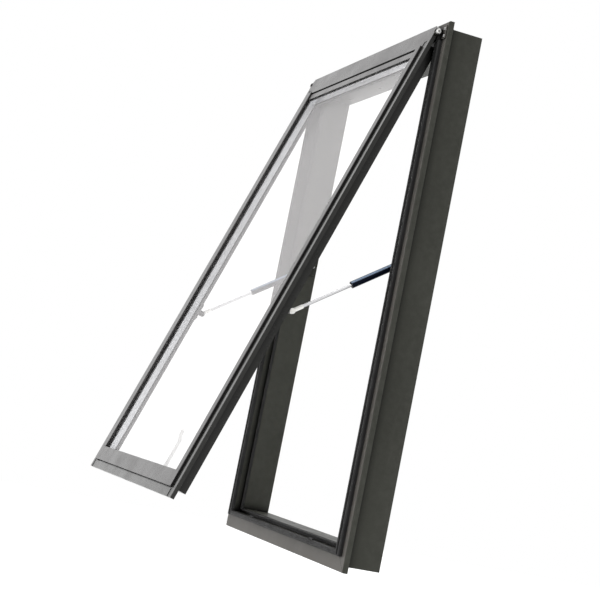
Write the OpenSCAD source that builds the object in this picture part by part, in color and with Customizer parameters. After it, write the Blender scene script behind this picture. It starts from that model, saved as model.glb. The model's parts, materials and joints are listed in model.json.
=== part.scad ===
// Top-hung aluminium window: fixed frame, glazed sash, two gas struts and a cranked locking handle.
// Millimetres, +X to the right seen from outside, +Y into the building, +Z up the frame.
// Origin: middle of the width, on the back face of the flange, level with the underside of the box.
// The sash is drawn pushed out against its fully extended struts.

/* [Window] */
// Overall width over the flange
window_w = 970; // [800:10:1200]
// Overall height over the flange
window_h = 1400; // [1300:10:1600]
// Angle that the sash is pushed out by
open_angle = 18.87; // [0:0.01:18.87]

/* [Frame] */
// How far the flange stands out past the box
flange_lip = 15; // [10:1:25]
// Thickness of the flange
flange_t = 14.5; // [12:0.5:16]
// Depth of the box behind the flange
box_depth = 89; // [85:1:120]
// Wall of the frame extrusion
frame_wall = 2.4; // [1.8:0.1:2.6]
// Diameter of the fixing holes through the head and the sill
fixing_d = 8.5; // [6:0.5:9]
// Distance of the outer fixing holes from the middle of the width
fixing_outer = 340; // [300:5:350]
// Distance of the inner fixing holes from the middle of the width
fixing_inner = 115; // [80:5:200]
// Distance of the fixing holes behind the flange
fixing_y = 62; // [40:1:70]

/* [Sash] */
// Height of the hinge axis below the top of the box
hinge_drop = 13; // [11:0.5:15]
// Distance of the hinge axis in front of the flange
hinge_front = 15; // [14.5:0.1:15.5]
// Width of the top band that covers the head of the sash
band_h = 57.5; // [52:0.5:60]
// Thickness of each pane of glass
pane_t = 4; // [3:0.5:4]
// Gap between the two panes
pane_gap = 16; // [14:1:18]

/* [Hinges] */
// Diameter of the hinge pins
pin_d = 7; // [6:0.5:7]
// Diameter of the round caps on the hinge pins
cap_d = 13; // [10:0.5:16]

/* [Struts] */
// Diameter of the gas strut tubes
tube_d = 18; // [16:1:18]
// Diameter of the gas strut rods
rod_d = 8; // [6:1:8]
// Distance of the strut plane from the middle of the window
strut_x_inset = 65; // [64:1:66]
// Distance of the sash studs from the hinge axis, down the sash
stud_u = 797; // [780:1:810]
// Distance of the lower end of the tube from its pivot
tube_end = 208; // [200:1:212]

/* [Handle] */
// Length of the lever from its pivot to the middle of its tip
lever_len = 140; // [110:5:150]
// Diameter of the lever's neck
neck_d = 17; // [15:1:18]

/* [Hidden] */
$fn = 48;

FRAME_COLOUR = "#3a3c39";
SASH_COLOUR = "#4a4b49";
COVER_COLOUR = "#a09c9c";
SEAL_COLOUR = "#1b1b1b";
STEEL_COLOUR = "#b9bcc0";
PALE_COLOUR = "#e6e4df";

// Frame section, measured inwards from the outside of the box
box_h = window_h - 2 * flange_lip;
box_hw = window_w / 2 - flange_lip;
rebate_in = 35;
rebate_back = 9.5;
reveal_in = 48;
reveal_hw = box_hw - reveal_in;
edge_bevel = 2.5;
mask_in = 60;
// Weather seal on the front of the frame
seal_out = 9;
sill_seal_out = 22;
seal_front = -flange_t - 9.8;
seal_root = -flange_t - 3.5;
// Sash, measured down from the hinge axis (u) and out from it (n)
hinge_y = -flange_t - hinge_front;
hinge_z = box_h - hinge_drop;
leaf_t = 2.5;
sash_hw = box_hw - 19;
leaf_x = sash_hw + 1.5;
leaf_screw_x = leaf_x + 17;
sash_top = -17.5;
sash_bottom = hinge_z - 15.1;
plate_back = -4.7;
plate_front = 5.8;
cover_back = 4.6;
box_back = -30.5;
box_top = 29;
cleat_back = box_back + 4;
box_bottom = sash_bottom - 24.9;
ledge_n = -26;
band_bottom = sash_top + band_h;
top_sight = 67;
bottom_sight = sash_bottom - 67.9;
side_sight = 63;
side_box = 49;
cap_in = 34;
cap_front = plate_front + 4.5;
cover_end = 27;
chamber_back = plate_back + 2;
slot_h = 8;
corner_cut = 9;
skin = 2;
// Glass unit
glass_front = 1;
cap_lip = glass_front + 2;
glass_hw = sash_hw - 52;
glass_top = 56;
glass_bottom = bottom_sight + 11;
inner_glass_front = glass_front - pane_t - pane_gap;
glass_back = inner_glass_front - pane_t;
// Struts
strut_x = box_hw - strut_x_inset;
strut_y = 65.5;
strut_z = hinge_z - 553.4;
stud_n = -43.5;
socket_r = 7.2;
socket_hw = 5.4;
stud_y = hinge_y - stud_u * sin(open_angle) - stud_n * cos(open_angle);
stud_z = hinge_z - stud_u * cos(open_angle) + stud_n * sin(open_angle);
strut_len = norm([stud_y - strut_y, stud_z - strut_z]);
strut_angle = atan2(strut_y - stud_y, stud_z - strut_z);
// Handle and lock
handle_u = sash_bottom - 43.9;
lever_back = -72;
lever_front = -66;
tip_step = 6.5;
rose_back = box_back - 4;
pinion_teeth = 8;
pinion_r = 6.4;
lock_travel = pinion_r * PI / 2;
tooth_pitch = 2 * PI * pinion_r / pinion_teeth;
tooth_h = 1.0;
tooth_w = 1.9;
bar_n = box_back + 7;
bar_t = 4;
bar_hw = 300;
bar_top = handle_u + pinion_r + 1.7;
bar_bottom = bar_top + 5;
cam_xs = [-250, 250];
cam_r = 3;
cam_tip = box_bottom + 4.2;
fit = 0.05;

// ---------- helpers ----------

// One bar of the frame along side i (0 left, 1 right, 2 head, 3 sill), mitred at both ends.
// The child is its section: x inwards from the outside of the box, y into the building.
module frame_bar(i) {
  len = i < 2 ? window_h : window_w;
  at = [[-box_hw, -flange_lip], [box_hw, -flange_lip], [-window_w / 2, box_h], [window_w / 2, 0]][i];
  translate([at[0], 0, at[1]])
    mirror([i == 1 ? 1 : 0, 0, 0])
      rotate([0, i == 2 ? 90 : (i == 3 ? -90 : 0), 0])
        intersection() {
          linear_extrude(len) children();
          rotate([90, 0, 0])
            linear_extrude(4 * box_depth, center = true)
              polygon([
                [-flange_lip, 0],
                [mask_in, mask_in + flange_lip],
                [mask_in, len - mask_in - flange_lip],
                [-flange_lip, len]
              ]);
        }
}

// Places its children in the sash's own space: x across, y = -n, z = -u, from the hinge axis
module on_sash() {
  translate([0, hinge_y, hinge_z]) rotate([-open_angle, 0, 0]) children();
}

// A block in the sash's space, between two values of x, u and n
module block(x, u, n) {
  translate([x[0], -n[1], -u[1]]) cube([x[1] - x[0], n[1] - n[0], u[1] - u[0]]);
}

// A flat rectangular ring in the sash's space
module ring(hw_out, u_out, hw_in, u_in, n) {
  difference() {
    block([-hw_out, hw_out], u_out, n);
    block([-hw_in, hw_in], u_in, [n[0] - 1, n[1] + 1]);
  }
}

// A round bar along x, at u and n on the sash
module cross_bar(x, u, n, r) {
  translate([x[0], -n, -u]) rotate([0, 90, 0]) cylinder(h = x[1] - x[0], r = r);
}

// A round bar along the sash's normal, between two values of n
module normal_bar(x, u, n, r) {
  translate([x, -n[0], -u]) rotate([90, 0, 0]) cylinder(h = n[1] - n[0], r = r);
}

// A countersunk screw head with a cross slot, flat side down on z = 0
module screw_head(d) {
  difference() {
    cylinder(h = 0.3 * d, r1 = d / 2, r2 = 0.38 * d);
    for (a = [0, 90])
      rotate([0, 0, a]) translate([0, 0, 0.3 * d]) cube([0.55 * d, 0.12 * d, 0.25 * d], center = true);
  }
}

// Children on the right side as drawn, or mirrored to the left
module side(right) {
  mirror([right ? 0 : 1, 0, 0]) children();
}

// Children in the space of one strut: z from the pivot on the jamb towards the sash stud
module on_strut(right) {
  translate([right ? strut_x : -strut_x, strut_y, strut_z]) rotate([strut_angle, 0, 0]) children();
}

// ---------- frame ----------

module frame_section() {
  w = frame_wall;
  difference() {
    polygon([
      [edge_bevel - flange_lip, -flange_t], [rebate_in, -flange_t], [rebate_in, rebate_back],
      [40, rebate_back], [40, rebate_back - 2.5], [42, rebate_back - 2.5], [42, rebate_back],
      [reveal_in, rebate_back], [reveal_in, box_depth], [0, box_depth], [0, 0],
      [-flange_lip, 0], [-flange_lip, edge_bevel - flange_t]
    ]);
    polygon([
      [w - flange_lip, w - flange_t], [rebate_in - w, w - flange_t], [rebate_in - w, rebate_back - w],
      [w, rebate_back - w], [w, -w], [w - flange_lip, -w]
    ]);
    translate([w, rebate_back + w])
      square([reveal_in - 2 * w, box_depth - rebate_back - 2 * w]);
  }
}

module frame_jamb(i) {
  color(FRAME_COLOUR) frame_bar(i) frame_section();
}

// Head or sill, drilled for the screws that fasten the frame into its opening
module frame_rail(i) {
  color(FRAME_COLOUR)
    difference() {
      frame_bar(i) frame_section();
      for (x = [-fixing_outer, -fixing_inner, fixing_inner, fixing_outer])
        translate([x, fixing_y, i == 2 ? box_h - reveal_in - 1 : -1])
          cylinder(h = reveal_in + 2, d = fixing_d);
    }
}

// Four angle pieces that join the mitres inside the rear chamber
module frame_corner_cleats() {
  leg = 95;
  t = 16;
  in = frame_wall + 0.4;
  depth = box_depth - rebate_back - 2 * in;
  color("silver")
    for (sx = [0, 1], sz = [0, 1])
      translate([0, 0, sz * box_h])
        mirror([0, 0, sz])
          mirror([sx, 0, 0])
            translate([in - box_hw, rebate_back + in, in]) {
              cube([leg, depth, t]);
              cube([t, depth, leg]);
            }
}

// Two round-shouldered lobes and the web between them, along a jamb
module seal_section() {
  polygon([
    [seal_out, -flange_t], [seal_out, seal_front + 2.8], [seal_out + 2.5, seal_front],
    [seal_out + 8, seal_front], [seal_out + 10, seal_root], [rebate_in - 10, seal_root],
    [rebate_in - 8, seal_front], [rebate_in - 2, seal_front], [rebate_in, seal_front + 2.8],
    [rebate_in, -flange_t]
  ]);
}

// The single lobe along the sill
module sill_seal_section() {
  polygon([
    [sill_seal_out, -flange_t], [sill_seal_out, seal_root], [rebate_in - 8, seal_front],
    [rebate_in - 2, seal_front], [rebate_in, seal_front + 2.8], [rebate_in, -flange_t]
  ]);
}

// Soft seal on the front of the frame; the head run is narrower, to clear the top of the sash
module weather_seal() {
  color(SEAL_COLOUR) {
    intersection() {
      union() {
        for (i = [0, 1])
          frame_bar(i) seal_section();
      }
      translate([-window_w, -2 * flange_t, sill_seal_out])
        cube([2 * window_w, 2 * flange_t, box_h - rebate_in + 2 - sill_seal_out]);
    }
    frame_bar(3) sill_seal_section();
    translate([seal_out + 11 - box_hw, seal_front, box_h - rebate_in])
      cube([2 * (box_hw - seal_out - 11), -flange_t - seal_front, 19]);
  }
}

// Gasket that the back of the sash meets inside the rebate
module rebate_gasket() {
  color(SEAL_COLOUR)
    for (i = [0:3])
      frame_bar(i)
        polygon([
          [42.4, rebate_back], [42.4, rebate_back - 6], [43.4, rebate_back - 8],
          [45.8, rebate_back - 8], [47, rebate_back - 6], [47, rebate_back]
        ]);
}

// Hinge leaf on the front of the frame, with the ear that carries the pin
module frame_hinge(right) {
  ear_t = 3.5;
  color(FRAME_COLOUR)
    side(right)
      difference() {
        union() {
          translate([leaf_x, -flange_t - leaf_t, hinge_z - 17]) cube([27.5, leaf_t, 33]);
          translate([leaf_x, hinge_y, hinge_z - 8.5]) cube([ear_t, hinge_front, 17]);
          translate([leaf_x, hinge_y, hinge_z]) rotate([0, 90, 0]) cylinder(h = ear_t, r = 8.5);
        }
        translate([leaf_x - 1, hinge_y, hinge_z])
          rotate([0, 90, 0])
            cylinder(h = ear_t + 2, r = pin_d / 2 + 0.02);
        for (z = hinge_screw_zs())
          translate([leaf_screw_x, -flange_t + 1, z]) rotate([90, 0, 0]) cylinder(h = 5, r = 2.2);
      }
}

function hinge_screw_zs() = [hinge_z - 9, hinge_z + 9];

module hinge_pin(right) {
  x0 = sash_hw - 21;
  cap_x = sash_hw + 5.2;
  cap_len = 11;
  color(STEEL_COLOUR)
    side(right)
      translate([0, hinge_y, hinge_z])
        rotate([0, 90, 0])
          difference() {
            union() {
              translate([0, 0, x0]) cylinder(h = cap_x + 1 - x0, d = pin_d);
              translate([0, 0, cap_x]) cylinder(h = cap_len - 1.5, d = cap_d);
              translate([0, 0, cap_x + cap_len - 1.5])
                cylinder(h = 1.5, r1 = cap_d / 2, r2 = cap_d / 2 - 1.5);
            }
            translate([0, 0, cap_x + cap_len - 4]) cylinder(h = 5, r = 2.2);
          }
}

// Two screws in each leaf on the frame
module hinge_screws() {
  color("dimgray")
    for (right = [true, false], z = hinge_screw_zs())
      side(right)
        translate([leaf_screw_x, -flange_t - leaf_t, z])
          rotate([90, 0, 0]) {
            screw_head(8);
            translate([0, 0, -leaf_t]) cylinder(h = leaf_t, r = 2.1);
          }
}

// Plate on the reveal with the shouldered pin that the strut's eye turns on
module strut_bracket(right) {
  plate_t = 3;
  eye_hw = 5;
  color(FRAME_COLOUR)
    side(right)
      translate([reveal_hw, strut_y, strut_z])
        rotate([0, -90, 0])
          difference() {
            union() {
              translate([-25, -19, 0]) cube([50, 38, plate_t]);
              cylinder(h = reveal_hw - strut_x - eye_hw - 0.5, r = 6.5);
              cylinder(h = reveal_hw - strut_x + eye_hw + 4, r = 4);
            }
            for (s = [-1, 1])
              translate([19 * s, 13 * s, -1]) cylinder(h = plate_t + 2, r = 2.2);
          }
}

// Spring clips that hold the eyes on their pins
module strut_pin_clips() {
  color("dimgray")
    for (right = [true, false])
      side(right)
        translate([strut_x - 5.4, strut_y, strut_z])
          rotate([0, -90, 0])
            difference() {
              cylinder(h = 1.6, r = 6.8);
              translate([0, 0, -1]) cylinder(h = 4, r = 4.02);
            }
}

module bracket_screws() {
  color("dimgray")
    for (right = [true, false], s = [-1, 1])
      side(right)
        translate([reveal_hw - 3, strut_y + 13 * s, strut_z + 19 * s])
          rotate([0, -90, 0]) {
            screw_head(8);
            translate([0, 0, -3]) cylinder(h = 3, r = 2.1);
          }
}

// Keeps on the sill that the cams slide behind
module sill_keeps() {
  cam_y = hinge_y - bar_n - bar_t / 2;
  color(SEAL_COLOUR)
    for (x = cam_xs)
      translate([x, cam_y, rebate_in])
        difference() {
          union() {
            translate([-27, -cam_r - 3.5, 0]) cube([22, 3.2, 3.8]);
            translate([-42, -cam_r - 3.5, 0]) cube([15, 9.6, 2]);
          }
          translate([-35, 0, -1]) cylinder(h = 4, r = 1.8);
        }
}

module keep_screws() {
  color("dimgray")
    for (x = cam_xs)
      translate([x - 35, hinge_y - bar_n - bar_t / 2, rebate_in + 2]) {
        screw_head(5.5);
        translate([0, 0, -2]) cylinder(h = 2, r = 1.7);
      }
}

// ---------- sash ----------

// Section point of a stile, from its outer edge inwards (v) and out from the hinge plane (n)
function stile_pt(v, n) = [sash_hw - v, -n];

// The small cuts across the two top corners
module top_corner_cuts() {
  for (s = [-1, 1])
    translate([s * sash_hw, 0, -sash_top])
      rotate([0, 45, 0])
        cube([corner_cut * sqrt(2), 40, corner_cut * sqrt(2)], center = true);
}

module sash_stile(right) {
  color(SASH_COLOUR)
    on_sash()
      side(right)
        difference() {
          union() {
            translate([0, 0, -sash_bottom])
              linear_extrude(sash_bottom - sash_top)
                polygon([
                  stile_pt(0, plate_back), stile_pt(0, plate_front - 1), stile_pt(1, plate_front),
                  stile_pt(15, plate_front), stile_pt(16, cover_back), stile_pt(cap_in, cover_back),
                  stile_pt(cap_in, 0), stile_pt(side_box, 0), stile_pt(side_box, plate_back)
                ]);
            block([sash_hw - side_box, sash_hw - 23], [box_top, box_bottom], [box_back, plate_back]);
            block([sash_hw - side_sight, sash_hw - side_box], [top_sight, bottom_sight],
              [box_back, ledge_n]);
          }
          // chamber of the front plate and chamber of the box behind it
          block([sash_hw - 22.8, sash_hw - skin], [sash_top + 3, sash_bottom - 3], [chamber_back, 2.6]);
          block([sash_hw - side_box + skin, sash_hw - 25], [box_top + skin, box_bottom - skin],
            [box_back + skin, -2.2]);
          // seat of the head cover, pocket of the hinge block and hole for the pin
          block([0, sash_hw + 1], [sash_top - 1, cover_end], [cover_back, 8]);
          block([sash_hw - 22.8, sash_hw - skin], [-15, 20], [-5.2, 8]);
          cross_bar([sash_hw - 3, sash_hw + 1], 0, 0, pin_d / 2 + 0.15);
          // ways through for the corner cleats
          block([sash_hw - side_box - 1, sash_hw - side_box + 3], [box_top + 3.8, 49.2],
            [cleat_back - 0.2, -3.8]);
          block([sash_hw - side_box - 1, sash_hw - side_box + 3],
            [box_bottom - 25.2, box_bottom - 3.8], [cleat_back - 0.2, -9.8]);
          top_corner_cuts();
        }
}

module sash_top_rail() {
  in = sash_hw - side_box;
  color(SASH_COLOUR)
    on_sash()
      difference() {
        union() {
          block([-in, in], [sash_top, 53], [plate_back, 0]);
          block([-in, in], [box_top, 53], [box_back, plate_back]);
          block([-in, in], [53, top_sight], [box_back, ledge_n]);
          block([cap_in - sash_hw, sash_hw - cap_in], [sash_top, band_bottom], [0, cover_back]);
        }
        block([-in - 1, in + 1], [box_top + skin, 51], [box_back + skin, -2.2]);
        block([-in - 1, in + 1], [sash_top + skin, box_top - 0.2], [chamber_back, 2.6]);
      }
}

module sash_bottom_rail() {
  in = sash_hw - side_box;
  box_in = sash_bottom - 53.9;
  color(SASH_COLOUR)
    on_sash()
      difference() {
        union() {
          block([-in, in], [box_in, sash_bottom], [plate_back, 0]);
          block([-in, in], [box_in, box_bottom], [box_back, plate_back]);
          block([-in, in], [bottom_sight, box_in], [box_back, ledge_n]);
          block([cap_in - sash_hw, sash_hw - cap_in], [sash_bottom - 22, sash_bottom],
            [0, plate_front]);
        }
        block([-in - 1, in + 1], [box_in + skin, box_bottom - skin], [box_back + skin, -9]);
        block([-in - 1, in + 1], [sash_bottom - 22.7, sash_bottom - skin], [chamber_back, 3.6]);
        // hole for the spindle and slots for the cams
        normal_bar(0, handle_u, [box_back - 1, box_back + 3], 4.6);
        for (x = cam_xs)
          block([x - lock_travel - cam_r - 1, x + cam_r + 1], [box_bottom - 3, box_bottom + 1],
            [bar_n + bar_t / 2 - cam_r - 0.5, bar_n + bar_t / 2 + cam_r + 0.5]);
      }
}

// Angle pieces that join the rails to the stiles
module sash_corner_cleats() {
  in = sash_hw - side_box;
  leg_x = [in - 58, sash_hw - 25.2];
  color("silver")
    on_sash()
      for (right = [true, false])
        side(right) {
          block(leg_x, [box_top + 4, 49], [cleat_back, -4]);
          block([in + 3, sash_hw - 25.2], [49, 110], [cleat_back, -4]);
          block(leg_x, [box_bottom - 25, box_bottom - 4], [cleat_back, -10]);
          block([in + 3, sash_hw - 25.2], [box_bottom - 95, box_bottom - 25], [cleat_back, -10]);
        }
}

// Sheet that covers the head of the sash
module head_cover() {
  color(COVER_COLOUR)
    on_sash()
      difference() {
        union() {
          block([-sash_hw, sash_hw], [sash_top, cover_end], [cover_back, plate_front]);
          block([cap_in - sash_hw, sash_hw - cap_in], [cover_end, band_bottom],
            [cover_back, plate_front]);
        }
        top_corner_cuts();
      }
}

module glazing_cap_top() {
  hw = sash_hw - side_sight + 2;
  color(COVER_COLOUR)
    on_sash()
      union() {
        block([-hw, hw], [band_bottom + slot_h, 53], [0, plate_front]);
        block([-hw, hw], [53, top_sight - 0.5], [cap_lip, plate_front]);
      }
}

module glazing_cap_bottom() {
  hw = sash_hw - cap_in;
  color(COVER_COLOUR)
    on_sash()
      union() {
        block([-hw, hw], [sash_bottom - 53.9, sash_bottom - 25], [0, cap_front]);
        block([-hw, hw], [bottom_sight + 0.9, sash_bottom - 53.9], [cap_lip, cap_front]);
      }
}

module glazing_cap_side(right) {
  color(COVER_COLOUR)
    on_sash()
      side(right)
        translate([0, 0, -bottom_sight - 0.8])
          linear_extrude(bottom_sight + 0.8 - band_bottom - 0.1)
            polygon([
              stile_pt(cap_in, 0), stile_pt(cap_in, cap_front - 0.8),
              stile_pt(cap_in + 0.8, cap_front), stile_pt(side_sight - 3, cap_front),
              stile_pt(side_sight - 2, cap_front - 1), stile_pt(side_sight - 2, cap_lip),
              stile_pt(side_box + 1, cap_lip), stile_pt(side_box + 1, 0)
            ]);
}

module outer_gasket() {
  color(SEAL_COLOUR)
    on_sash()
      ring(glass_hw + 1.5, [glass_top - 1.5, glass_bottom + 2],
        sash_hw - side_sight + 0.7, [top_sight + 0.8, bottom_sight - 0.2], [glass_front, cap_lip]);
}

module inner_gasket() {
  color(SEAL_COLOUR)
    on_sash()
      ring(glass_hw + 1, [glass_top - 1, glass_bottom + 1],
        sash_hw - side_sight + 0.7, [top_sight + 0.8, bottom_sight - 0.2], [ledge_n, glass_back]);
}

module outer_pane() {
  color("lightblue", 0.35)
    on_sash()
      block([-glass_hw, glass_hw], [glass_top, glass_bottom], [glass_front - pane_t, glass_front]);
}

module inner_pane() {
  color("lightblue", 0.35)
    on_sash()
      block([-glass_hw, glass_hw], [glass_top, glass_bottom], [glass_back, inner_glass_front]);
}

module spacer_bar() {
  color("darkgray")
    on_sash()
      ring(glass_hw - 3, [glass_top + 3, glass_bottom - 3], glass_hw - 10,
        [glass_top + 10, glass_bottom - 10], [inner_glass_front, glass_front - pane_t]);
}

module edge_sealant() {
  color("black")
    on_sash()
      ring(glass_hw, [glass_top, glass_bottom], glass_hw - 3, [glass_top + 3, glass_bottom - 3],
        [inner_glass_front, glass_front - pane_t]);
}

// Hard plastic blocks that the glass stands on
module setting_blocks() {
  color("white")
    on_sash()
      for (x = [-290, 210])
        block([x, x + 80], [glass_bottom, glass_bottom + 3], [glass_back, glass_front]);
}

// Block inside the top of each stile that turns on the hinge pin
module sash_hinge(right) {
  color(STEEL_COLOUR)
    on_sash()
      side(right)
        difference() {
          block([sash_hw - 22.6, sash_hw - skin], [-15, 20], [-5.2, cover_back - 0.1]);
          cross_bar([sash_hw - 30, sash_hw + 5], 0, 0, pin_d / 2 + fit);
        }
}

// Plate on the back of the stile with the short stud beside the strut's socket, on its inner side
module stud_bracket(right) {
  x0 = strut_x - 6.5;
  color(SASH_COLOUR)
    on_sash()
      side(right)
        difference() {
          union() {
            block([x0 - 10, x0], [stud_u - 26, stud_u + 26], [box_back - 2.5, box_back]);
            block([x0 - 3, x0], [stud_u - 8, stud_u + 8], [stud_n, box_back]);
            cross_bar([x0 - 3, x0], stud_u, stud_n, 8);
            cross_bar([x0, strut_x - socket_hw - 0.5], stud_u, stud_n, 5);
          }
          for (s = [-1, 1])
            normal_bar(x0 - 5, stud_u + 18 * s, [box_back - 4, box_back + 1], 2.2);
        }
}

module stud_screws() {
  color("dimgray")
    on_sash()
      for (right = [true, false], s = [-1, 1])
        side(right)
          translate([strut_x - 11.5, -box_back + 2.5, -stud_u - 18 * s])
            rotate([-90, 0, 0]) {
              screw_head(7);
              translate([0, 0, -2.5]) cylinder(h = 2.5, r = 2.1);
            }
}

// ---------- handle and lock ----------

module handle_rose() {
  half_l = 34;
  half_h = 9;
  color(PALE_COLOUR)
    on_sash()
      difference() {
        union() {
          block([-half_l + half_h, half_l - half_h], [handle_u - half_h, handle_u + half_h],
            [rose_back, box_back]);
          for (s = [-1, 1])
            normal_bar(s * (half_l - half_h), handle_u, [rose_back, box_back], half_h);
        }
        normal_bar(0, handle_u, [rose_back - 1, box_back + 1], 8 + fit);
        for (s = [-1, 1])
          normal_bar(22 * s, handle_u, [rose_back - 1, box_back + 1], 2.2);
      }
}

module rose_screws() {
  color("dimgray")
    on_sash()
      for (s = [-1, 1])
        translate([22 * s, -rose_back, -handle_u])
          rotate([-90, 0, 0]) {
            screw_head(7);
            translate([0, 0, rose_back - box_back]) cylinder(h = box_back - rose_back, r = 2.1);
          }
}

// Two bearing plates on pillars that carry the spindle inside the bottom rail
module handle_gearbox() {
  u = [handle_u - 7.4, handle_u + 14];
  color("darkgray")
    on_sash()
      difference() {
        union() {
          block([-32, 32], u, [box_back + 2.1, bar_n - 3]);
          block([-32, 32], u, [bar_n + 7, bar_n + 9]);
          for (x = [-32, 28])
            block([x, x + 4], [handle_u - 6, handle_u + 4], [bar_n - 3, bar_n + 7]);
        }
        normal_bar(0, handle_u, [box_back, bar_n + 10], 4 + fit);
      }
}

// Cranked lever: neck, long arm up the sash and a tip that steps back towards the glass
module handle_lever() {
  tip_u = handle_u - lever_len;
  color(PALE_COLOUR)
    on_sash()
      difference() {
        union() {
          normal_bar(0, handle_u, [lever_front - 1, rose_back - 0.3], neck_d / 2);
          normal_bar(0, handle_u, [rose_back - 1, box_back - 0.2], 8);
          intersection() {
            rotate([0, 90, 0])
              linear_extrude(40, center = true)
                polygon([
                  [handle_u + 12, -lever_back], [handle_u + 12, -lever_front],
                  [tip_u + 26, -lever_front], [tip_u + 10, -lever_front - tip_step],
                  [tip_u - 12, -lever_front - tip_step], [tip_u - 12, -lever_front],
                  [tip_u + 8, -lever_front], [tip_u + 22, -lever_back]
                ]);
            rotate([-90, 0, 0])
              linear_extrude(100) {
                translate([0, handle_u]) circle(r = 10);
                polygon([
                  [-10, handle_u], [-7, handle_u - 55], [-5.5, tip_u + 12], [-5.5, tip_u],
                  [5.5, tip_u], [5.5, tip_u + 12], [7, handle_u - 55], [10, handle_u]
                ]);
                translate([0, tip_u]) circle(r = 7);
              }
          }
        }
        normal_bar(0, handle_u, [lever_front + 3, box_back + 1], 4);
      }
}

// Spindle with its small gear
module handle_spindle() {
  root_r = pinion_r - 1.5;
  color(STEEL_COLOUR)
    on_sash()
      union() {
        normal_bar(0, handle_u, [lever_front + 3, bar_n + 8.8], 4);
        translate([0, -bar_n + 0.5, -handle_u])
          rotate([90, 0, 0])
            linear_extrude(bar_t + 1) {
              circle(r = root_r);
              for (i = [0:pinion_teeth - 1])
                rotate((i + 0.5) * 360 / pinion_teeth)
                  polygon([
                    [root_r - 1, -1.5], [root_r, -1.35], [pinion_r, -tooth_w / 2],
                    [pinion_r + tooth_h, -0.35], [pinion_r + tooth_h, 0.35],
                    [pinion_r, tooth_w / 2], [root_r, 1.35], [root_r - 1, 1.5]
                  ]);
            }
      }
}

// Outline of one rack tooth, from its root on the left to its root on the right
function rack_tooth() = [
  [-1.4, pinion_r + handle_u - bar_top], [-tooth_w / 2, 0], [-0.45, tooth_h],
  [0.45, tooth_h], [tooth_w / 2, 0], [1.4, pinion_r + handle_u - bar_top]
];

// Sliding bar with a short rack under the gear
module lock_bar() {
  pitch_u = handle_u + pinion_r;
  color(STEEL_COLOUR)
    on_sash()
      translate([0, -bar_n, 0])
        rotate([90, 0, 0])
          linear_extrude(bar_t)
            polygon(concat(
              [[-bar_hw, -bar_bottom], [-bar_hw, -bar_top]],
              [for (i = [-3:5], p = rack_tooth()) [i * tooth_pitch + p[0], p[1] - pitch_u]],
              [[bar_hw, -bar_top], [bar_hw, -bar_bottom]]
            ));
}

// Round cams that stand down from the lock bar through the slots of the bottom rail
module lock_cams() {
  color(STEEL_COLOUR)
    on_sash()
      for (x = cam_xs)
        translate([x, -bar_n - bar_t / 2, -cam_tip]) cylinder(h = cam_tip - bar_bottom, r = cam_r);
}

// ---------- gas struts ----------

// Tube with a closed rear end and the eye that turns on the bracket's pin
module strut_tube(right) {
  rear = 18;
  color("#151a26")
    on_strut(right)
      difference() {
        union() {
          translate([0, 0, rear]) cylinder(h = tube_end - rear, d = tube_d);
          cylinder(h = rear, d = 10);
          rotate([0, 90, 0]) cylinder(h = 10, r = 8, center = true);
        }
        translate([0, 0, rear + 4]) cylinder(h = tube_end, r = tube_d / 2 - 1.4);
        rotate([0, 90, 0]) cylinder(h = 30, r = 4 + fit, center = true);
      }
}

// Guide that closes the tube round the rod
module strut_gland(right) {
  color("black")
    on_strut(right)
      translate([0, 0, tube_end - 9])
        difference() {
          cylinder(h = 9, r = tube_d / 2 - 1.42);
          translate([0, 0, -1]) cylinder(h = 12, r = rod_d / 2 + fit);
        }
}

module strut_piston(right) {
  color("gray")
    on_strut(right)
      translate([0, 0, tube_end - 22])
        difference() {
          cylinder(h = 9, r = tube_d / 2 - 1.48);
          translate([0, 0, -1]) cylinder(h = 12, r = rod_d / 2 + 0.02);
        }
}

module strut_rod(right) {
  color("lightgray")
    on_strut(right)
      translate([0, 0, tube_end - 23]) cylinder(h = strut_len - tube_end + 5, d = rod_d);
}

// Pale end fitting: a cone round the end of the rod and a round socket beside the sash stud
module strut_socket(right) {
  cone = 24;
  color(PALE_COLOUR)
    on_strut(right)
      difference() {
        union() {
          translate([0, 0, strut_len - 6 - cone])
            cylinder(h = cone, r1 = rod_d / 2 + 1.2, r2 = socket_hw - 0.2);
          translate([0, 0, strut_len])
            rotate([0, 90, 0])
              cylinder(h = 2 * socket_hw, r = socket_r, center = true);
        }
        translate([0, 0, strut_len - 60]) cylinder(h = 42, d = rod_d + 0.04);
      }
}

frame_rail(2);  // frame_head
frame_rail(3);  // frame_sill
frame_jamb(0);  // frame_jamb_left
frame_jamb(1);  // frame_jamb_right
frame_corner_cleats();
weather_seal();
rebate_gasket();
frame_hinge(false);  // frame_hinge_left
frame_hinge(true);  // frame_hinge_right
hinge_pin(false);  // hinge_pin_left
hinge_pin(true);  // hinge_pin_right
hinge_screws();
strut_bracket(false);  // strut_bracket_left
strut_bracket(true);  // strut_bracket_right
strut_pin_clips();
bracket_screws();
sill_keeps();
keep_screws();
sash_top_rail();
sash_bottom_rail();
sash_stile(false);  // sash_stile_left
sash_stile(true);  // sash_stile_right
sash_corner_cleats();
head_cover();
glazing_cap_top();
glazing_cap_bottom();
glazing_cap_side(false);  // glazing_cap_left
glazing_cap_side(true);  // glazing_cap_right
outer_gasket();
inner_gasket();
outer_pane();
inner_pane();
spacer_bar();
edge_sealant();
setting_blocks();
sash_hinge(false);  // sash_hinge_left
sash_hinge(true);  // sash_hinge_right
stud_bracket(false);  // stud_bracket_left
stud_bracket(true);  // stud_bracket_right
stud_screws();
handle_rose();
handle_gearbox();
rose_screws();
handle_lever();
handle_spindle();
lock_bar();
lock_cams();
strut_tube(false);  // strut_tube_left
strut_tube(true);  // strut_tube_right
strut_gland(false);  // strut_gland_left
strut_gland(true);  // strut_gland_right
strut_rod(false);  // strut_rod_left
strut_rod(true);  // strut_rod_right
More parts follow.
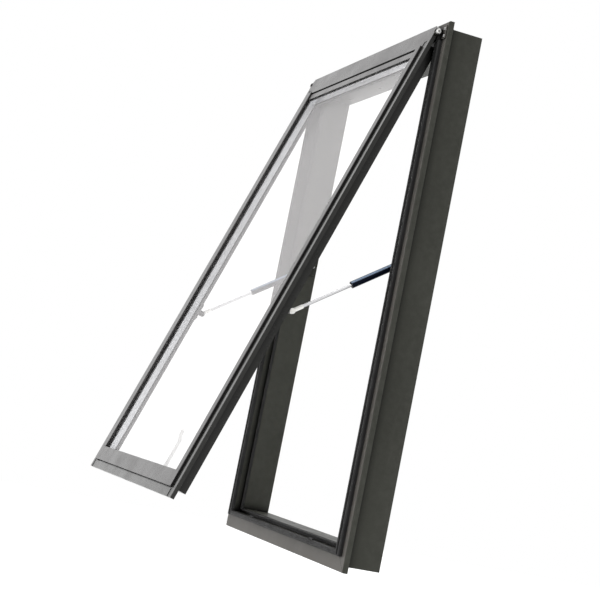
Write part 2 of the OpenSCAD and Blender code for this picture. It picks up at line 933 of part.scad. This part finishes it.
strut_piston(false);  // strut_piston_left
strut_piston(true);  // strut_piston_right
strut_socket(false);  // strut_socket_left
strut_socket(true);  // strut_socket_right
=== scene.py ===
import json
import math

import bmesh
import bpy
from mathutils import Matrix, Vector


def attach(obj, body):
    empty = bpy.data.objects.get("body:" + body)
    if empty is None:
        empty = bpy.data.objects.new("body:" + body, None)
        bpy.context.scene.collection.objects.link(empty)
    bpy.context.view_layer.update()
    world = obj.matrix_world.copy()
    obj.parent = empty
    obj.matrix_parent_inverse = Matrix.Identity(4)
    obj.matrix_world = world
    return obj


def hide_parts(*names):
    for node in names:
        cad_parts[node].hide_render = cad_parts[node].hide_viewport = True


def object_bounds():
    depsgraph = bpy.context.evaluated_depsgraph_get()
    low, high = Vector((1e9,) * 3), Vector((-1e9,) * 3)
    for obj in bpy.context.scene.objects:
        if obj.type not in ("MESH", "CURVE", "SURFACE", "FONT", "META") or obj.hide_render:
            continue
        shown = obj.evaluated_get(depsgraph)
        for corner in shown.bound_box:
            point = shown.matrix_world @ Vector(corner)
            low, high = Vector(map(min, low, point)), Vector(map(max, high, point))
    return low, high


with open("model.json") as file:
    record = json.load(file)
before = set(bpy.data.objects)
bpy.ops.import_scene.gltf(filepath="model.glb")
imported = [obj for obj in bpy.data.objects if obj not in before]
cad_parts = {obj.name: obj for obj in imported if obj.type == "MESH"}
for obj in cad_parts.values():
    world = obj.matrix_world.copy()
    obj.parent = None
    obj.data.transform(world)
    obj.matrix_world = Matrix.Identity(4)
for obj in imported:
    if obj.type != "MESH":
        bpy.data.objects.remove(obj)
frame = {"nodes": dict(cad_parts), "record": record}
cad_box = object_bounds()

MM = 0.001
OPEN_ANGLE = math.radians(18.87)
HINGE_AXIS = Vector((0, -0.0295, 1.357))

# ---------------------------------------------------------------- camera

CAMERA_PLACE = (3.944, -1.4585, 0.284)
CAMERA_AZIMUTH = math.radians(70.88)
CAMERA_ELEVATION = math.radians(-5.12)
CAMERA_ROLL = math.radians(11.36)
CAMERA_LENS = 91.26
SENSOR_WIDTH = 36
CAMERA_REACH = 100


def make_camera():
    """The camera looks up a little at the right side of the window, rolled clockwise."""
    az, el, roll = CAMERA_AZIMUTH, CAMERA_ELEVATION, CAMERA_ROLL
    forward = Vector((-math.sin(az) * math.cos(el), math.cos(az) * math.cos(el), -math.sin(el)))
    level_right = Vector((math.cos(az), math.sin(az), 0))
    level_up = level_right.cross(forward)
    right = math.cos(roll) * level_right + math.sin(roll) * level_up
    up = right.cross(forward)
    data = bpy.data.cameras.new("camera")
    data.lens = CAMERA_LENS
    data.sensor_width = SENSOR_WIDTH
    data.clip_end = CAMERA_REACH
    camera = bpy.data.objects.new("camera", data)
    camera.matrix_world = Matrix((
        (right.x, up.x, -forward.x, CAMERA_PLACE[0]),
        (right.y, up.y, -forward.y, CAMERA_PLACE[1]),
        (right.z, up.z, -forward.z, CAMERA_PLACE[2]),
        (0, 0, 0, 1),
    ))
    bpy.context.scene.collection.objects.link(camera)
    bpy.context.scene.camera = camera


make_camera()

# ---------------------------------------------------------------- material building


class Nodes:
    """A short way to write a node tree: add a node, set its plain inputs, link the others."""

    def __init__(self, name):
        self.material = bpy.data.materials.new(name)
        self.material.use_nodes = True
        self.tree = self.material.node_tree
        self.tree.nodes.clear()
        self.output = self.tree.nodes.new("ShaderNodeOutputMaterial")

    def add(self, kind, inputs=None, **settings):
        node = self.tree.nodes.new(kind)
        for key, value in settings.items():
            setattr(node, key, value)
        for key, value in (inputs or {}).items():
            if isinstance(value, bpy.types.NodeSocket):
                self.tree.links.new(value, node.inputs[key])
            else:
                node.inputs[key].default_value = value
        return node

    def coords(self, scale=(1, 1, 1)):
        place = self.add("ShaderNodeTexCoord").outputs["Object"]
        return self.add("ShaderNodeMapping", {"Vector": place, "Scale": scale}).outputs["Vector"]

    def noise(self, scale, detail=4.0, roughness=0.55, stretch=(1, 1, 1)):
        node = self.add("ShaderNodeTexNoise", {
            "Vector": self.coords(stretch), "Scale": scale, "Detail": detail, "Roughness": roughness,
        })
        return node.outputs["Fac"]

    def voronoi(self, scale):
        node = self.add("ShaderNodeTexVoronoi", {"Vector": self.coords(), "Scale": scale})
        return node.outputs["Distance"]

    def remap(self, value, low, high, to_low, to_high):
        node = self.add("ShaderNodeMapRange", {
            "Value": value, "From Min": low, "From Max": high, "To Min": to_low, "To Max": to_high,
        })
        return node.outputs["Result"]

    def math(self, operation, a, b):
        return self.add("ShaderNodeMath", {0: a, 1: b}, operation=operation).outputs["Value"]

    def blend(self, factor, a, b):
        node = self.add("ShaderNodeMix", data_type="RGBA")
        for index, value in ((0, factor), (6, a), (7, b)):
            if isinstance(value, bpy.types.NodeSocket):
                self.tree.links.new(value, node.inputs[index])
            else:
                node.inputs[index].default_value = value if index == 0 else (*value, 1)
        return node.outputs[2]

    def bump(self, height, distance, strength=1.0):
        node = self.add("ShaderNodeBump", {"Height": height, "Distance": distance, "Strength": strength})
        return node.outputs["Normal"]

    def finish(self, inputs):
        shader = self.add("ShaderNodeBsdfPrincipled", inputs)
        self.tree.links.new(shader.outputs["BSDF"], self.output.inputs["Surface"])
        return self.material


def dark(color, factor):
    return tuple(c * factor for c in color)


def edge_wear(n, amount):
    """1 on raised edges that have been rubbed, 0 on flat faces."""
    pointy = n.add("ShaderNodeNewGeometry").outputs["Pointiness"]
    edge = n.remap(pointy, 0.52, 0.60, 0.0, 1.0)
    patchy = n.remap(n.noise(60, 5), 0.35, 0.75, 0.2, 1.0)
    return n.math("MULTIPLY", n.math("MULTIPLY", edge, patchy), amount)


def painted_crevice_shade(n, reach, low):
    """Painted shade: 1 on open faces, down to low where a face meets another within reach."""
    open_sky = n.add("ShaderNodeAmbientOcclusion", {"Distance": reach}, samples=8).outputs["AO"]
    return n.remap(open_sky, 0.45, 0.97, low, 1.0)


def along(n, output, direction):
    """How far a point's place ("Object") or normal ("Normal") lies in that direction, at rest."""
    place = n.add("ShaderNodeTexCoord").outputs[output]
    dot = n.add("ShaderNodeVectorMath", {0: place, 1: direction}, operation="DOT_PRODUCT")
    return dot.outputs["Value"]


def looks_towards(n, direction, low, high):
    """1 on faces that look that way at rest, 0 on the others."""
    return n.remap(along(n, "Normal", direction), low, high, 0.0, 1.0)


def outermost(n, outward, beyond):
    """1 on faces that look outward and lie further that way than beyond, in metres at rest."""
    lies = n.remap(along(n, "Object", outward), beyond - 0.4 * MM, beyond + 0.4 * MM, 0.0, 1.0)
    return n.math("MULTIPLY", looks_towards(n, outward, 0.80, 0.95), lies)


def powder_coat(name, color, rough=0.42, texture=0.06 * MM, wear=0.35, specular=0.5, front=None):
    """Powder coating: orange peel, faint cloudiness, fine speckle, paler rubbed edges, painted shade in
    corners.

    front is the outward direction, the distance and the color of a painted sheen on the front faces,
    which makes them paler than the sides as light falls on them.
    """
    n = Nodes(name)
    cloud = n.remap(n.noise(3.5, 3), 0.3, 0.7, 0.0, 1.0)
    speck = n.remap(n.noise(900, 2), 0.35, 0.65, 0.0, 1.0)
    base = n.blend(cloud, dark(color, 0.88), dark(color, 1.12))
    if front:
        outward, beyond, painted_sheen_color = front
        painted_sheen = n.blend(cloud, dark(painted_sheen_color, 0.92), dark(painted_sheen_color, 1.08))
        # painted sheen: the outermost front faces take a paler colour that stands in for the light
        # falling on them
        base = n.blend(outermost(n, outward, beyond), base, painted_sheen)
    base = n.blend(n.math("MULTIPLY", speck, 0.3), base, dark(color, 1.8))
    base = n.blend(edge_wear(n, wear), base, tuple(min(1, c * 2.2 + 0.03) for c in color))
    # painted shade: the coat darkens to near black where faces meet within 26 mm
    base = n.blend(painted_crevice_shade(n, 26 * MM, 0.0), dark(color, 0.05), base)
    peel = n.math("ADD", n.noise(520, 3), n.math("MULTIPLY", n.voronoi(340), 0.5))
    roughness = n.remap(n.noise(14, 4), 0.3, 0.7, rough - 0.05, rough + 0.07)
    return n.finish({
        "Base Color": base, "Roughness": roughness, "Normal": n.bump(peel, texture),
        "Specular IOR Level": specular,
    })


def rubber(name, color, rough=0.62, texture=0.12 * MM, specular=0.2):
    """Extruded rubber: dull, dusty, with fine lines from the die."""
    n = Nodes(name)
    dust = n.remap(n.noise(24, 6, 0.7), 0.45, 0.8, 0.0, 0.5)
    base = n.blend(dust, color, tuple(c * 1.8 + 0.008 for c in color))
    grain = n.math("ADD", n.noise(700, 2), n.math("MULTIPLY", n.noise(60, 2), 0.6))
    roughness = n.remap(n.noise(40, 4), 0.3, 0.7, rough - 0.1, rough + 0.12)
    return n.finish({
        "Base Color": base, "Roughness": roughness, "Normal": n.bump(grain, texture),
        "Specular IOR Level": specular,
    })


def bare_metal(name, color, rough=0.3, stretch=(1, 1, 12), streaks=0.5, wear=0.2):
    """Rolled or machined metal: fine streaks along one direction and small stains."""
    n = Nodes(name)
    lines = n.noise(420, 3, 0.6, stretch)
    stain = n.remap(n.noise(35, 5), 0.45, 0.75, 0.0, 0.35)
    base = n.blend(n.math("MULTIPLY", lines, streaks), dark(color, 0.86), color)
    base = n.blend(stain, base, dark(color, 0.62))
    base = n.blend(edge_wear(n, wear), base, (0.9, 0.9, 0.9))
    roughness = n.remap(lines, 0.3, 0.7, rough - 0.08, rough + 0.12)
    return n.finish({
        "Base Color": base, "Metallic": 1.0, "Roughness": roughness, "Normal": n.bump(lines, 0.03 * MM),
    })


def gloss_enamel(name, color, rough=0.18, coat=0.5, specular=0.5, edge=0.35, painted_highlight=None):
    """Smooth enamel or hard plastic with a thin clear gloss, faint flow marks, a little dirt and painted
    shade where parts meet.

    settled is the color of a band painted where the photo shows the tube's highlight. It doesn't
    come from the lights.
    """
    n = Nodes(name)
    dirt = n.remap(n.noise(55, 6, 0.65), 0.5, 0.85, 0.0, 0.45)
    base = n.blend(dirt, color, dark(color, 0.72))
    if painted_highlight:
        # painted highlight: a pale blue-grey band on the faces that look along the highlight direction
        base = n.blend(looks_towards(n, TUBE_HIGHLIGHT_SIDE, 0.86, 0.99), base, painted_highlight)
    # painted shade: the enamel darkens where faces meet within 6 mm
    base = n.blend(painted_crevice_shade(n, 6 * MM, edge), dark(color, 0.25), base)
    flow = n.noise(130, 2)
    roughness = n.remap(n.noise(30, 4), 0.3, 0.7, rough - 0.05, rough + 0.1)
    return n.finish({
        "Base Color": base, "Roughness": roughness, "Normal": n.bump(flow, 0.04 * MM),
        "Coat Weight": coat, "Coat Roughness": 0.06, "Specular IOR Level": specular,
    })


def window_glass(name, painted_reflection_color, alpha):
    """Clear pane with a painted reflection of the bright room: a pale veil over what is behind it."""
    n = Nodes(name)
    smear = n.remap(n.noise(5, 5, 0.6), 0.35, 0.75, 0.0, 1.0)
    # painted reflection: a pale colour laid over the pane at low opacity
    base = n.blend(smear, dark(painted_reflection_color, 0.97), painted_reflection_color)
    roughness = n.remap(n.noise(18, 5), 0.3, 0.7, 0.03, 0.07)
    return n.finish({
        "Base Color": base, "Roughness": roughness, "Alpha": alpha, "IOR": 1.45,
        "Normal": n.bump(n.noise(3, 2), 0.1 * MM, 0.3),
    })


def chrome(name, color, rough=0.07):
    """Hard chrome on a ground rod: bright, with faint rings and a painted dark reflection along its
    underside.
    """
    n = Nodes(name)
    rings = n.noise(300, 2, 0.5, (1, 8, 8))
    base = n.blend(n.remap(n.noise(90, 4), 0.5, 0.8, 0.0, 0.3), color, dark(color, 0.8))
    # painted reflection: the underside darkens to a quarter of the chrome's colour
    base = n.blend(looks_towards(n, ROD_UNDERSIDE, 0.3, 0.8), base, dark(color, 0.25))
    roughness = n.remap(rings, 0.3, 0.7, rough - 0.03, rough + 0.07)
    return n.finish({
        "Base Color": base, "Metallic": 1.0, "Roughness": roughness, "Normal": n.bump(rings, 0.01 * MM),
    })


# directions and places at rest: where the photo shows the tubes' highlight (the same way for both
# tubes, so the left one's band faces inwards), underside of the rods, front faces
TUBE_HIGHLIGHT_SIDE = (0.62, -0.2, 0.76)
ROD_UNDERSIDE = (0, 0.15, -0.99)
SASH_OUT = Vector((0, -math.cos(OPEN_ANGLE), math.sin(OPEN_ANGLE)))
# front faces that carry a painted sheen: the flange front and the sash's outer lip
FLANGE_FRONT = (Vector((0, -1, 0)), 13.5 * MM, (0.084, 0.078, 0.072))
SASH_LIP = (SASH_OUT, HINGE_AXIS.dot(SASH_OUT) + 5.2 * MM, (0.060, 0.059, 0.058))

MATERIALS = {
    "frame_paint": powder_coat(
        "frame_powder_coat", (0.0275, 0.0280, 0.0235), rough=0.38, specular=0.08, front=FLANGE_FRONT,
    ),
    "sash_paint": powder_coat(
        "sash_powder_coat", (0.0120, 0.0120, 0.0110), rough=0.26, specular=0.22, front=SASH_LIP,
    ),
    "cover_paint": powder_coat("cover_powder_coat", (0.036, 0.034, 0.034), rough=0.27, specular=0.24),
    "seal_rubber": rubber("black_rubber_seal", (0.010, 0.010, 0.010)),
    "cleat_aluminium": bare_metal("cleat_aluminium", (0.74, 0.75, 0.77), rough=0.38),
    "bracket_steel": bare_metal("zinc_plated_steel", (0.56, 0.56, 0.55), rough=0.34),
    "screw_steel": bare_metal("screw_steel", (0.34, 0.34, 0.34), rough=0.34),
    "pale_fitting": gloss_enamel("pale_nylon_fitting", (0.74, 0.73, 0.70), rough=0.3, coat=0.2),
    "window_glass": window_glass("window_glass", (0.95, 0.93, 0.935), 0.085),
    "spacer_aluminium": bare_metal("spacer_aluminium", (0.70, 0.71, 0.73), rough=0.32, stretch=(6, 6, 1)),
    "edge_sealant": rubber("glass_edge_sealant", (0.018, 0.018, 0.018)),
    "block_plastic": rubber("setting_block_plastic", (0.55, 0.55, 0.53), rough=0.5, specular=0.4),
    "handle_paint": gloss_enamel("handle_enamel", (0.56, 0.56, 0.55), rough=0.24),
    "strut_tube_paint": gloss_enamel(
        "strut_enamel", (0.0010, 0.0026, 0.0070), rough=0.16, coat=0.0, specular=0.05, edge=0.6,
        painted_highlight=(0.23, 0.30, 0.41),
    ),
    "black_fitting": rubber("black_fitting", (0.006, 0.006, 0.007), rough=0.4),
    "rod_chrome": chrome("rod_chrome", (0.60, 0.60, 0.61)),
}
NODE_SLOTS = {row["node"]: row["material_slot"] for row in frame["record"]["subparts"]}
BODY_OF = {n: body for body, names in frame["record"]["behaviour"]["bodies"].items() for n in names}

# ---------------------------------------------------------------- pieces made from the frame


def set_material(obj, slot_name):
    obj.data.materials.clear()
    obj.data.materials.append(MATERIALS[slot_name])


def apply_modifiers(obj):
    """Bakes the modifiers into the mesh, so that the piece is a plain mesh."""
    graph = bpy.context.evaluated_depsgraph_get()
    done = bpy.data.meshes.new_from_object(
        obj.evaluated_get(graph), preserve_all_data_layers=True, depsgraph=graph,
    )
    old = obj.data
    obj.modifiers.clear()
    obj.data = done
    bpy.data.meshes.remove(old)


def link(name, mesh):
    obj = bpy.data.objects.new(name, mesh)
    bpy.context.scene.collection.objects.link(obj)
    return obj


WELD = 0.005 * MM
FLAT_ANGLE = math.radians(0.5)
SHARP_ANGLE = math.radians(32)


def eased(node, width):
    """A copy of a CAD node with its sharp edges rounded to that width in millimetres.

    The copy rides on the node's body and stands for the node.
    """
    mesh = frame["nodes"][node].data.copy()
    bm = bmesh.new()
    bm.from_mesh(mesh)
    bmesh.ops.remove_doubles(bm, verts=bm.verts, dist=WELD)
    bmesh.ops.dissolve_limit(
        bm, angle_limit=FLAT_ANGLE, verts=bm.verts, edges=bm.edges, use_dissolve_boundaries=False,
    )
    bm.to_mesh(mesh)
    bm.free()
    obj = link(node + "_eased", mesh)
    for key in ("sharp_edge", "sharp_face", "custom_normal"):
        if key in mesh.attributes:
            mesh.attributes.remove(mesh.attributes[key])
    mesh.shade_smooth()
    bevel = obj.modifiers.new("ease", "BEVEL")
    bevel.width = width * MM
    bevel.segments = 2
    bevel.limit_method = "ANGLE"
    bevel.angle_limit = SHARP_ANGLE
    bevel.harden_normals = True
    bevel.miter_outer = "MITER_ARC"
    apply_modifiers(obj)
    set_material(obj, NODE_SLOTS[node])
    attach(obj, BODY_OF[node])
    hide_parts(node)


EASED = {
    "frame_head": 0.8, "frame_sill": 0.8, "frame_jamb_left": 0.8, "frame_jamb_right": 0.8,
    "rebate_gasket": 0.5,
    "frame_hinge_left": 0.5, "frame_hinge_right": 0.5, "hinge_pin_left": 0.5, "hinge_pin_right": 0.5,
    "strut_bracket_left": 0.4, "strut_bracket_right": 0.4, "sill_keeps": 0.3,
    "sash_top_rail": 0.5, "sash_bottom_rail": 0.5, "sash_stile_left": 0.5, "sash_stile_right": 0.5,
    "head_cover": 0.35, "glazing_cap_top": 0.5, "glazing_cap_bottom": 0.6,
    "glazing_cap_left": 0.5, "glazing_cap_right": 0.5, "outer_gasket": 0.4, "inner_gasket": 0.6,
    "outer_pane": 0.5, "inner_pane": 0.5, "spacer_bar": 0.5, "setting_blocks": 0.5,
    "stud_bracket_left": 0.4, "stud_bracket_right": 0.4,
    "handle_rose": 0.9, "handle_lever": 1.1,
    "strut_tube_left": 0.7, "strut_tube_right": 0.7, "strut_gland_left": 0.5, "strut_gland_right": 0.5,
    "strut_rod_left": 0.4, "strut_rod_right": 0.4, "strut_socket_left": 0.6, "strut_socket_right": 0.6,
}

for node, obj in frame["nodes"].items():
    set_material(obj, NODE_SLOTS[node])
for node, width in EASED.items():
    eased(node, width)

# ---------------------------------------------------------------- floor and light

FLOOR_DROP = 0.35
FLOOR_HALF = 6
LIGHT_TARGET = (0, -0.1, 0.7)


def make_stage():
    """A pale floor well below the window."""
    low = cad_box[0][2] - FLOOR_DROP
    half = FLOOR_HALF
    mesh = bpy.data.meshes.new("floor")
    corners = [(-half, -half, low), (half, -half, low), (half, half, low), (-half, half, low)]
    mesh.from_pydata(corners, [], [(0, 1, 2, 3)])
    floor = link("floor", mesh)
    n = Nodes("pale floor")
    shade = n.blend(n.noise(0.8, 2), (0.93, 0.93, 0.93), (0.96, 0.96, 0.96))
    mesh.materials.append(n.finish({"Base Color": shade, "Roughness": 0.9, "Specular IOR Level": 0.1}))


def area_light(name, place, target, size, watts):
    data = bpy.data.lights.new(name, "AREA")
    data.shape = "RECTANGLE"
    data.size, data.size_y = size
    data.energy = watts
    lamp = bpy.data.objects.new(name, data)
    lamp.location = place
    lamp.rotation_euler = (Vector(target) - Vector(place)).to_track_quat("-Z", "Y").to_euler()
    bpy.context.scene.collection.objects.link(lamp)


def make_light():
    """A white room, a soft box to the left, one in front and a wide one above that lights the floor."""
    world = bpy.data.worlds.new("studio")
    world.use_nodes = True
    background = world.node_tree.nodes["Background"]
    background.inputs["Color"].default_value = (1, 1, 1, 1)
    background.inputs["Strength"].default_value = 1.0
    bpy.context.scene.world = world
    bpy.context.scene.view_settings.view_transform = "Standard"
    area_light("left_box", (-4.4, -1.1, 2.1), LIGHT_TARGET, (4.2, 4.2), 26)
    area_light("front_box", (1.5, -4.6, 1.3), LIGHT_TARGET, (1.3, 3.4), 75)
    area_light("floor_wash", (0, 0, 6.5), (0, 0, 0), (9, 9), 420)


make_stage()
make_light()
